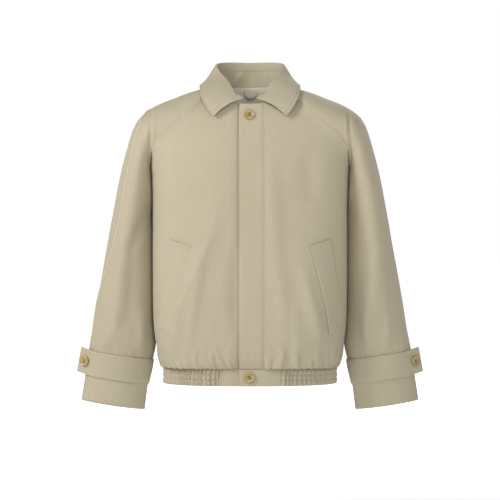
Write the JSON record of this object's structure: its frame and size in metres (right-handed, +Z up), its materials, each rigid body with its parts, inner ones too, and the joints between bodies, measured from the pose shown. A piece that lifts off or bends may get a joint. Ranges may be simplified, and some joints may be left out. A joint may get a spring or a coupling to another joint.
{
  "type": "harrington jacket",
  "caption": "Hip-length raglan harrington jacket in khaki cotton twill, buttoned at the neck and hem, with an elastic hem band and tabbed cuffs.",
  "frame": {"origin": "middle of the neck base, level with the neck ends of the shoulders, where the wearer carries the jacket", "axes": "+Z up, front of the jacket towards -Y, wearer's left towards +X"},
  "size_m": [0.7666, 0.2767, 0.7707],
  "materials": {
    "khaki_cotton_twill": "matte",
    "neck_facing_cloth": "matte",
    "button_horn": "satin"
  },
  "bodies": {
    "root": {"back": "khaki_cotton_twill", "front_right": "khaki_cotton_twill", "front_left": "khaki_cotton_twill", "placket": "khaki_cotton_twill", "sleeve_front_right": "khaki_cotton_twill", "sleeve_back_right": "khaki_cotton_twill", "sleeve_front_left": "khaki_cotton_twill", "sleeve_back_left": "khaki_cotton_twill", "collar_stand": "khaki_cotton_twill", "collar_leaf": "khaki_cotton_twill", "neck_facing": "neck_facing_cloth", "hanger_loop": "khaki_cotton_twill", "pocket_welt_right": "khaki_cotton_twill", "pocket_welt_left": "khaki_cotton_twill", "cuff_strap_right": "khaki_cotton_twill", "cuff_strap_left": "khaki_cotton_twill", "hem_tab_right": "khaki_cotton_twill", "hem_tab_left": "khaki_cotton_twill", "hem_elastic": "khaki_cotton_twill", "button_neck": "button_horn", "button_hem": "button_horn", "button_cuff_right": "button_horn", "button_cuff_left": "button_horn"}
  },
  "joints": []
}
